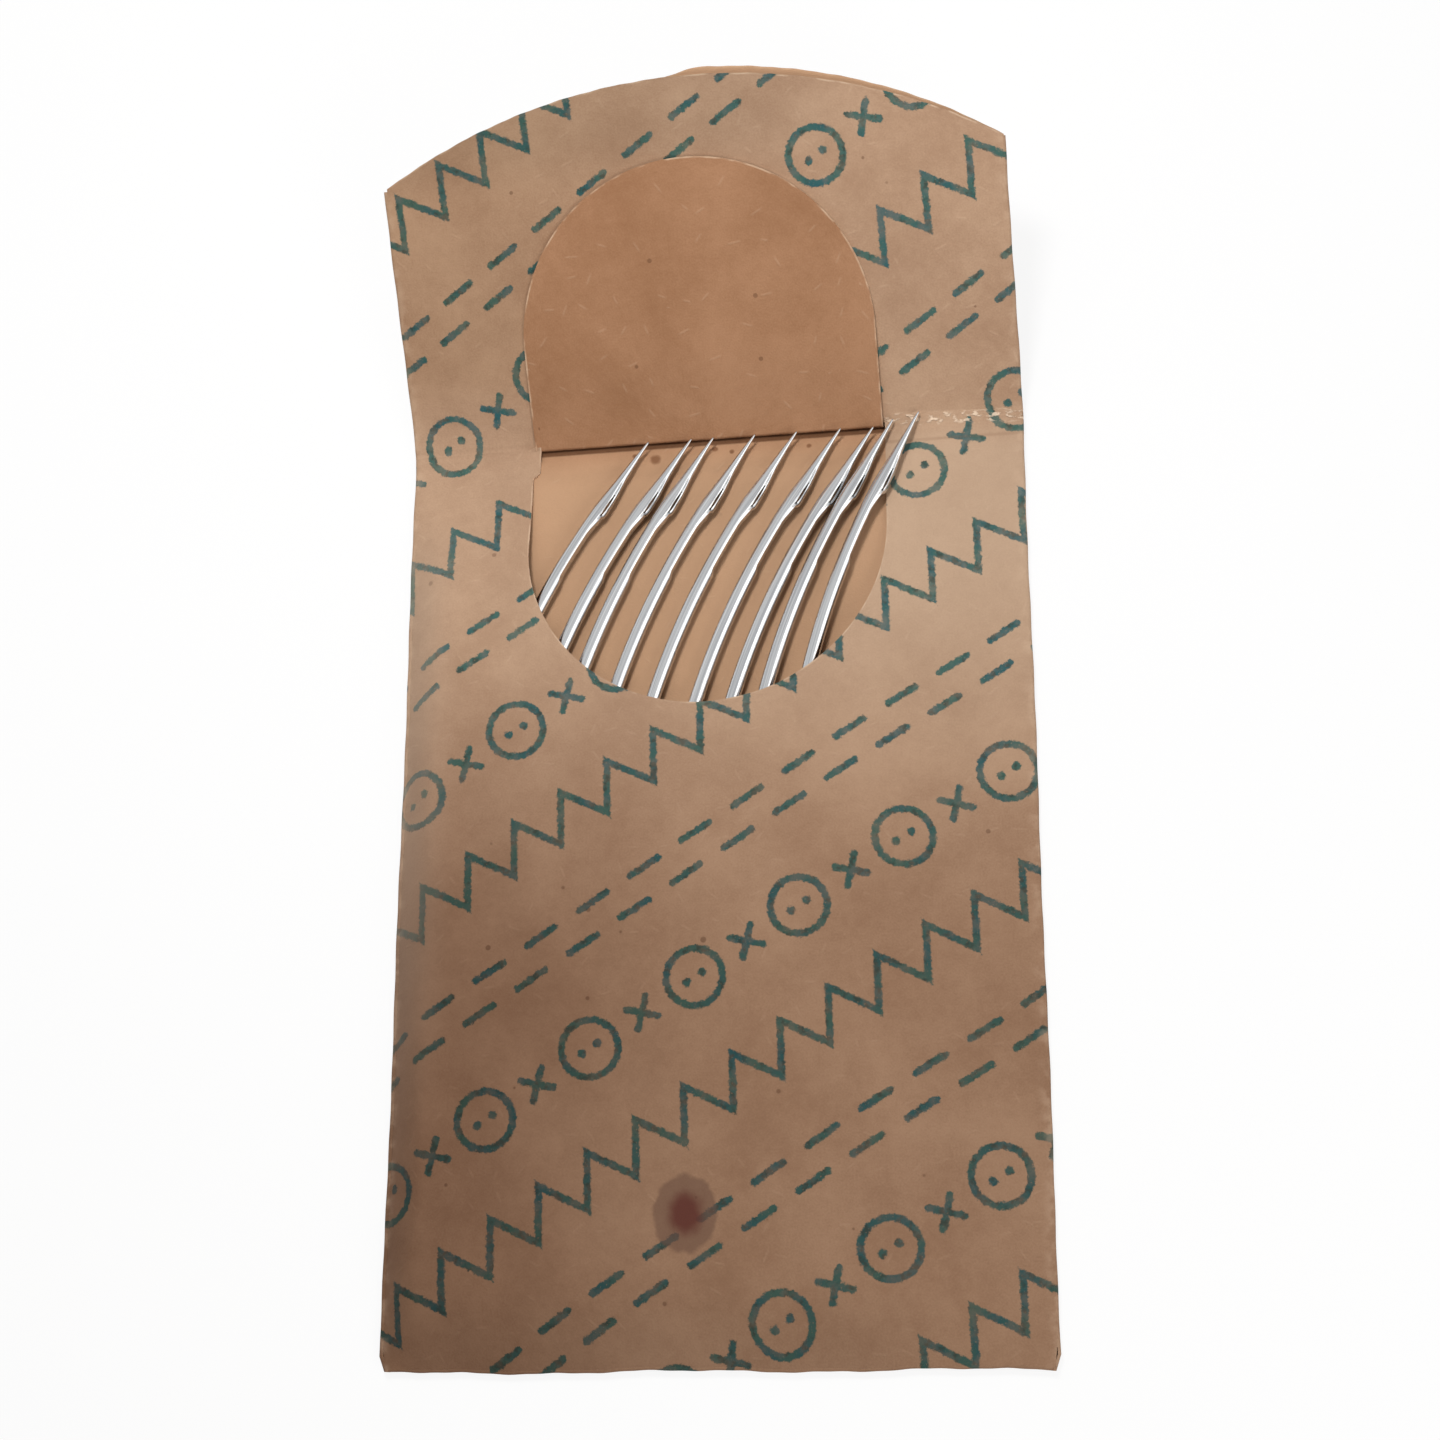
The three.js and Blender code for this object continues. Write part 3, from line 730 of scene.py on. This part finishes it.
pocket_front = window_rays()
from_rim = np.linalg.norm(pocket_front - pocket_front[:, :, :1], axis=0)
left_wing = pocket_front[0, 0, ::-1]
right_wing = pocket_front[0, -1]
over_window = np.linspace(left_wing[-1], right_wing[0], 70)[1:-1]
flap_x = np.concatenate([left_wing, over_window, right_wing])
end_band = 0.98
flap_steps = [np.linspace(0, 1, 90) ** row_crowding * end_band, np.linspace(end_band, 1, 10)[1:]]
flap_along = np.concatenate(flap_steps)[:, None] * flap_end(flap_x, flap_front_rise)
flap_across = np.broadcast_to(flap_x, flap_along.shape)
front_blocks = [
    front_block(*pocket_front, from_rim),
    front_block(flap_across, flap_along, flap_along[-1] - flap_along),
]
front_sheet = paper_piece("front_sheet", front_blocks)
bend_at_crease(front_sheet, front_top - paper / 2, "front_panel", "flap_front")


# The thumb tab. The tongue cut out of the window is turned up about the crease and lies against the flap, so
# it shows its bare side. It is folded over a round nose that leaves a dark line of shadow above the needles'
# points.
cut_width = 0.1
tab_radius = window_radius - cut_width
nose_radius, nose_start, nose_rows = 0.1, -0.12, 14
fold_setback = 0.25
nose_height = front_top - paper / 2 + nose_radius
tab_x = window_centre - tab_radius * np.cos(np.linspace(0, math.pi, 150))
tab_across = (tab_x - window_centre) / tab_radius
tab_straight = window_straight - 2 * fold_setback
tab_arch = tab_straight + np.sqrt(np.clip(tab_radius**2 - (tab_x - window_centre) ** 2, 0, None))
nose_turns = np.linspace(0, math.pi, nose_rows)[:, None]
nose_grid = (nose_rows, tab_x.size)
tab_steps = ray_steps[1:, None]
tab_run = tab_steps * (tab_arch - nose_start)
bow_most, bow_length_share, bow_side_fall = 0.05, 0.85, 0.4
bow_lengthwise = np.sin(math.pi * np.clip(tab_steps * bow_length_share, 0, 1))
tab_bow = bow_most * bow_lengthwise * (1 - bow_side_fall * tab_across**2)


def tab_side(radius):
    """A side of the tab: a half ring round the nose from the flap's front layer, then the tongue, which bows
    a little off the flap. The ring's radius is less than the nose's on the printed side and more on the
    bare one."""
    ring_along = np.broadcast_to(nose_start - radius * np.sin(nose_turns), nose_grid)
    ring_height = np.broadcast_to(nose_height - radius * np.cos(nose_turns), nose_grid)
    along = np.concatenate([ring_along, nose_start + tab_run])
    height = np.concatenate([ring_height, nose_height + radius + tab_bow])
    height = height - pressed(tab_x[None, :], along)
    return place(tab_x[None, :], along, height, flap_raised)


nose_travel = np.broadcast_to(nose_radius * nose_turns, nose_grid)
tab_travel = np.concatenate([nose_travel, math.pi * nose_radius + tab_run])
past_straight = np.clip(nose_start + tab_run - tab_straight, 0, None)
tab_past = np.concatenate([np.zeros(nose_grid), past_straight])
tab_from_cut = tab_radius - np.hypot(tab_x - window_centre, tab_past)
tab_sheet = flat(tab_x, -tab_travel, tab_from_cut)
tab_block = (tab_side(nose_radius - paper / 2), tab_side(nose_radius + paper / 2), tab_sheet)
tab = paper_piece("folded_thumb_tab", [tab_block])
tab_lowest = nose_height - pressed(0.0, 0.0)
tab_turns_from = place(0.0, 0.0, tab_lowest - nose_radius - paper / 2, flap_raised)
tab_turns_to = place(0.0, 0.0, tab_lowest + nose_radius - paper / 2, flap_raised)
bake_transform(tab)
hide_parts("thumb_tab")


# The needles. Each is one piece of plated steel wire, swaged from a thick shank to a slim blade and curved,
# with a long groove on the outside of the curve, a scarf on its inside and an eye through both. They lie
# loose in the pocket.
needle_length, arc_radius, straight_point = 46, 47, 4
tip_radius, eye_radius, blade_radius, shank_radius = 0.04, 0.41, 0.4, 0.81
point_length, eye_place, eye_half, blade_start = 5.0, 4.6, 0.75, 7.0
eye_top, eye_low = eye_place - eye_half, eye_place + eye_half
shoulder_start, shank_start, butt_chamfer = 29.1, 31.5, 0.25
scarf_start, scarf_rise, scarf_end, scarf_step = 5.4, 1.4, 10.2, 0.7
scarf_depth, scarf_margin = 0.14, 0.01
groove_start, groove_rise, groove_end, groove_fall = eye_top, 0.6, shoulder_start + 1.2, 1.6
groove_depth, groove_half = 0.15, 0.12
notch_start, notch_rise, notch_end, notch_fall, notch_depth = 2.6, 1.2, eye_place + 1.3, 0.8, 0.08
slot_half, slot_columns = 0.065, 9
bulge_start, bulge_rise, bulge_end, bulge_fall = 2.6, 1.6, eye_low + 1.1, 1.4
eye_roll, eye_bulge, point_offset, point_fullness = math.radians(45), 0.13, 0.1, 0.25
needle_leans = (36.2, 36, 34.3, 34.6, 34.8, 34.8, 34.3, 32, 29.5)


def steel():
    """Bright plated steel, with fine drawing lines along the wire and a few dull patches, all of them noise
    that is stretched along the wire."""
    line_relief = 0.003
    material, shader, turned = new_material("needle_steel", "turned")
    lines = turned.stretched(5.0, 5.0, 0.06).noise(1.0, 3)
    fine = turned.stretched(14.0, 14.0, 0.25).noise(1.0, 2)
    dull = turned.stretched(1.0, 1.0, 0.5).noise(1.0, 3).step(0.45, 0.75)
    drawn = lines * 0.6 + fine * 0.4
    colour = drawn.step(0.3, 0.7).mix(srgb(186, 187, 189), srgb(242, 241, 240))
    colour.feed(shader.inputs["Base Color"])
    (0.14 + lines * 0.1 + dull * 0.08).feed(shader.inputs["Roughness"])
    drawn.bump(line_relief).feed(shader.inputs["Normal"])
    shader.inputs["Metallic"].default_value = 1.0
    return material


def needle_places():
    """Distances from the tip, closest at the point, the eye and the scarf."""
    point = eye_top - eye_top * np.linspace(1, 0, 30)[1:-1] ** 0.7
    eye = np.linspace(eye_top, eye_low, 15)
    past_scarf = 0.4
    neck = np.linspace(eye_low, scarf_end + past_scarf, 46)[1:]
    blade = np.linspace(neck[-1], shoulder_start, 32)[1:]
    shoulder = np.linspace(shoulder_start, shank_start, 12)[1:]
    shank = np.linspace(shank_start, needle_length - butt_chamfer, 20)[1:]
    return np.concatenate([np.sort(point), eye, neck, blade, shoulder, shank, [needle_length]])


def needle_turns():
    """Turns about the wire's axis, closest across the eye's two slots: a slot, a flank, a slot and a flank.
    Turn 0 is the middle of the inner slot."""
    half_slot = math.asin(slot_half / eye_radius)
    slot = np.linspace(-half_slot, half_slot, slot_columns)
    flank = np.linspace(half_slot, math.pi - half_slot, 25)[1:-1]
    return np.concatenate([slot, flank, math.pi + slot, math.pi + flank])


def wire_radius(fromtip):
    """The wire's radius: it swells along a parabola from the tip to the eye, eases to the blade's and then
    to the shank's, and is chamfered at the butt."""
    share = np.clip(fromtip / point_length, 0, 1)
    swell = share * (1 + point_fullness - point_fullness * share)
    blade_share = ease((fromtip - eye_low) / (blade_start - eye_low))
    shank_share = ease((fromtip - shoulder_start) / (shank_start - shoulder_start))
    radius = tip_radius + (eye_radius - tip_radius) * swell
    radius = radius + (blade_radius - eye_radius) * blade_share
    radius = radius + (shank_radius - blade_radius) * shank_share
    return radius - butt_chamfer * (fromtip > needle_length - butt_chamfer / 2)


def between(fromtip, start, rise, end, fall):
    """1 between two distances from the tip, easing in over a rise and out over a fall, both inside them."""
    return ease((fromtip - start) / rise) * ease((end - fromtip) / fall)


def needle_points(fromtip, turns):
    """The surface of a needle on a grid of distances from its tip by turns about its axis. Hollows along
    the outer and the inner side make the long groove and the short notch at the eye, whose slots get round
    ends. The eye is then rolled up from the inside of the curve. Beside it the blade bulges inward, and the
    scarf cuts the inner side back as far as a low step. The tip stays a little outside the blade's axis.
    Last the straight needle is bent onto its arc."""
    radius = wire_radius(fromtip)
    inward = radius * np.cos(turns)
    sideways = radius * np.sin(turns)
    grooved = between(fromtip, groove_start, groove_rise, groove_end, groove_fall)
    groove = groove_depth * (1 - ease(abs(sideways) / groove_half)) * (inward < 0)
    inward = inward + groove * grooved
    notched = between(fromtip, notch_start, notch_rise, notch_end, notch_fall)
    notch = notch_depth * (1 - ease(abs(sideways) / slot_half)) * (inward > 0)
    inward = inward - notch * notched

    slot_roundness, slot_margin = 0.95, 1.01
    from_eye = np.clip(abs(fromtip - eye_place) / eye_half, 0, 1)
    rounded = np.where(from_eye < 1, np.sqrt(1 - slot_roundness * from_eye**2), 1)
    near_slot = abs(sideways) <= slot_half * slot_margin
    sideways = np.where(near_slot, sideways * rounded, sideways)

    rolled = inward * math.cos(eye_roll) - sideways * math.sin(eye_roll)
    sideways = inward * math.sin(eye_roll) + sideways * math.cos(eye_roll)
    bulging = between(fromtip, bulge_start, bulge_rise, bulge_end, bulge_fall)
    inward = rolled * (1 + eye_bulge / eye_radius * bulging * (rolled > 0))
    scarfed = scarf_depth * between(fromtip, scarf_start, scarf_rise, scarf_end, scarf_step)
    scarf_face = blade_radius + scarf_margin - scarfed
    inward = np.where(scarfed > 0, np.minimum(inward, scarf_face), inward)
    inward = inward + point_offset * ease(fromtip / straight_point)

    bend = np.clip(fromtip - straight_point, 0, None) / arc_radius
    out = arc_radius - inward
    x = arc_radius - out * np.cos(bend)
    y = -np.minimum(fromtip, straight_point) - out * np.sin(bend)
    return np.stack([x, y, sideways], -1).reshape(-1, 3)


def needle_faces(fromtip, columns):
    """The faces of the grid: its quads without the eye's two slots, walls through the blade that join the
    slots' rims, and fans to a pole at the tip and one at the butt, which are numbered after the grid."""
    rows = len(fromtip)
    number = np.arange(rows * columns).reshape(rows, columns)
    beside = np.roll(number, -1, 1)
    quads = np.stack([number[:-1], beside[:-1], beside[1:], number[1:]], -1)
    top = int(np.argmin(abs(fromtip - eye_top)))
    low = int(np.argmin(abs(fromtip - eye_low)))
    opposite = columns // 2
    solid = np.ones((rows - 1, columns), bool)
    for slot in (0, opposite):
        solid[top:low, slot : slot + slot_columns - 1] = False

    def slot_rim(across):
        """The numbers round a slot: along its upper end, down one side, back along its lower end and up."""
        down = number[top:low, across[-1]][1:]
        up = number[top:low, across[0]][:0:-1]
        return np.concatenate([number[top, across], down, number[low, across[::-1]], up])

    inside = slot_rim(np.arange(slot_columns))
    outside = slot_rim(np.arange(opposite, opposite + slot_columns)[::-1])
    walls = np.stack([outside, np.roll(outside, -1), np.roll(inside, -1), inside], 1)
    tip = np.full(columns, rows * columns)
    butt = tip + 1
    tip_fan = np.stack([tip, beside[0], number[0]], 1)
    butt_fan = np.stack([butt, number[-1], beside[-1]], 1)
    return quads[solid].tolist() + walls.tolist() + tip_fan.tolist() + butt_fan.tolist()


fromtip = needle_places()[:, None]
turns = needle_turns()[None, :]
arc_centre = np.array([arc_radius, -straight_point, 0])
butt_bend = (needle_length - straight_point) / arc_radius
butt_pole = arc_centre - np.array([math.cos(butt_bend), math.sin(butt_bend), 0]) * arc_radius
curved_needle = np.concatenate([needle_points(fromtip, turns), [(0, 0, 0), butt_pole]])
wire = np.broadcast_arrays(np.cos(turns), np.sin(turns), fromtip)
wire_places = np.concatenate([np.stack(wire, -1).reshape(-1, 3), [(0, 0, 0), (0, 0, needle_length)]])
faces_of_needle = needle_faces(fromtip, turns.size)
needle_steel = steel()
finish_shift = np.array([0, 0, 7.3])
for index, lean in enumerate(needle_leans):
    body = f"needle_{index + 1:02d}"
    joint = joints[f"{body}_slide"]
    tilt = math.atan2(joint["axis"][1], joint["axis"][2])
    turn = Matrix.Rotation(-tilt, 3, "X") @ Matrix.Rotation(-math.radians(lean), 3, "Z")
    points = (curved_needle - arc_centre) @ np.array(turn).T / MM + joint["pos_m"]
    turned = wire_places + finish_shift * index
    needle = smooth_piece(f"{body}_steel", points, faces_of_needle, "turned", turned, sharp_degrees=42)
    needle.data.materials.append(needle_steel)
    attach(needle, body)
    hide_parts(body)


# The studio: a pale floor, a small key light high beyond the flap, broad softboxes at the upper left and
# above, a fill from the lower right, a side softbox that is seen only in the steel, and the camera where
# the photograph's stood. Floor and surroundings look white to the camera and pale in the steel.
def area_light(name, place_mm, aim_mm, size_mm, power, on_paper=True, in_steel=False):
    """A disc of light of a width and a power, set at a place and aimed at another, in millimetres. It lights
    the paper, is mirrored in the steel, or does both."""
    lamp = bpy.data.lights.new(name, "AREA")
    lamp.shape = "DISK"
    lamp.size = size_mm / MM
    lamp.energy = power
    light = bpy.data.objects.new(name, lamp)
    light.location = Vector(place_mm) / MM
    towards = Vector(aim_mm) - Vector(place_mm)
    light.rotation_euler = towards.to_track_quat("-Z", "Y").to_euler()
    light.visible_diffuse = on_paper
    light.visible_glossy = in_steel
    bpy.context.collection.objects.link(light)


def floor_finish():
    """Faintly clouded white that keeps the packet's shadow, mixed with a white glow for the rays that come
    from the camera, from a mirror or through something clear."""
    glow_share = 0.88
    material = bpy.data.materials.new("white_floor")
    material.use_nodes = True
    tree = material.node_tree
    shader = tree.nodes["Principled BSDF"]
    shader.inputs["Roughness"].default_value = 0.9
    paths = tree.nodes.new("ShaderNodeLightPath").outputs
    seen = Wire(tree, paths["Is Camera Ray"])
    for path in ("Is Glossy Ray", "Is Transmission Ray"):
        seen = seen.most(Wire(tree, paths[path]))
    glow = tree.nodes.new("ShaderNodeEmission")
    glow.inputs["Strength"].default_value = 1.0
    texture = Wire(tree, tree.nodes.new("ShaderNodeTexCoord").outputs["Object"])
    clouds = texture.noise(40, 3).mix((0.86, 0.86, 0.86, 1), (0.9, 0.9, 0.9, 1))
    clouds.feed(shader.inputs["Base Color"])
    shaders = {0: seen * glow_share, 1: Wire(tree, shader.outputs[0]), 2: Wire(tree, glow.outputs[0])}
    surface = seen.add("ShaderNodeMixShader", {}, shaders)
    surface.feed(tree.nodes["Material Output"].inputs["Surface"])
    return material


floor_reach, floor_drop = 1500, 0.06
floor_square = np.array([(-1, -1, 0), (1, -1, 0), (1, 1, 0), (-1, 1, 0)])
floor_mesh = bpy.data.meshes.new("floor")
floor_mesh.from_pydata((floor_square * floor_reach - (0, 0, floor_drop)) / MM, [], [(0, 1, 2, 3)])
floor_mesh.materials.append(floor_finish())
floor = bpy.data.objects.new("floor", floor_mesh)
bpy.context.collection.objects.link(floor)

area_light("key", (-7, 60, 122), (0, 15, 0), 30, 0.108)
area_light("corner_softbox", (-108, 135, 104), (0, 17, 0), 230, 0.09)
area_light("top_softbox", (-20, 90, 190), (0, 17, 0), 220, 0.08)
area_light("fill", (90, -110, 90), (0, 5, 0), 100, 0.13)
area_light("side_softbox", (120, -15, 85), (0, 15, 0), 150, 0.066, on_paper=False, in_steel=True)

dim_room, pale_tent, white_wall = (0.12, 0.106, 0.095, 1), (0.7, 0.71, 0.72, 1), (0.88, 0.88, 0.88, 1)
world = bpy.data.worlds.new("studio")
world.use_nodes = True
world_tree = world.node_tree
world_paths = world_tree.nodes.new("ShaderNodeLightPath").outputs
passed = Wire(world_tree, world_paths["Is Transmission Ray"])
mirrored = Wire(world_tree, world_paths["Is Glossy Ray"]).most(passed)
surroundings = mirrored.mix(dim_room, pale_tent)
backdrop = Wire(world_tree, world_paths["Is Camera Ray"]).mix(surroundings, white_wall)
backdrop.feed(world_tree.nodes["Background"].inputs["Color"])
bpy.context.scene.world = world

camera_data = bpy.data.cameras.new("camera")
camera_data.lens = 60
camera_data.sensor_width = 36
camera_data.clip_start = 0.005
camera = bpy.data.objects.new("camera", camera_data)
camera_place = Vector((22.93, -31.03, 127.25))
camera_target = Vector((0.35, 9.25, 0))
back = (camera_place - camera_target).normalized()
right = Vector((0, 1, 0)).cross(back).normalized()
camera.matrix_world = Matrix((right, back.cross(right), back)).transposed().to_4x4()
camera.location = camera_place / MM
bpy.context.collection.objects.link(camera)
bpy.context.scene.camera = camera
bpy.context.scene.view_settings.view_transform = "Standard"
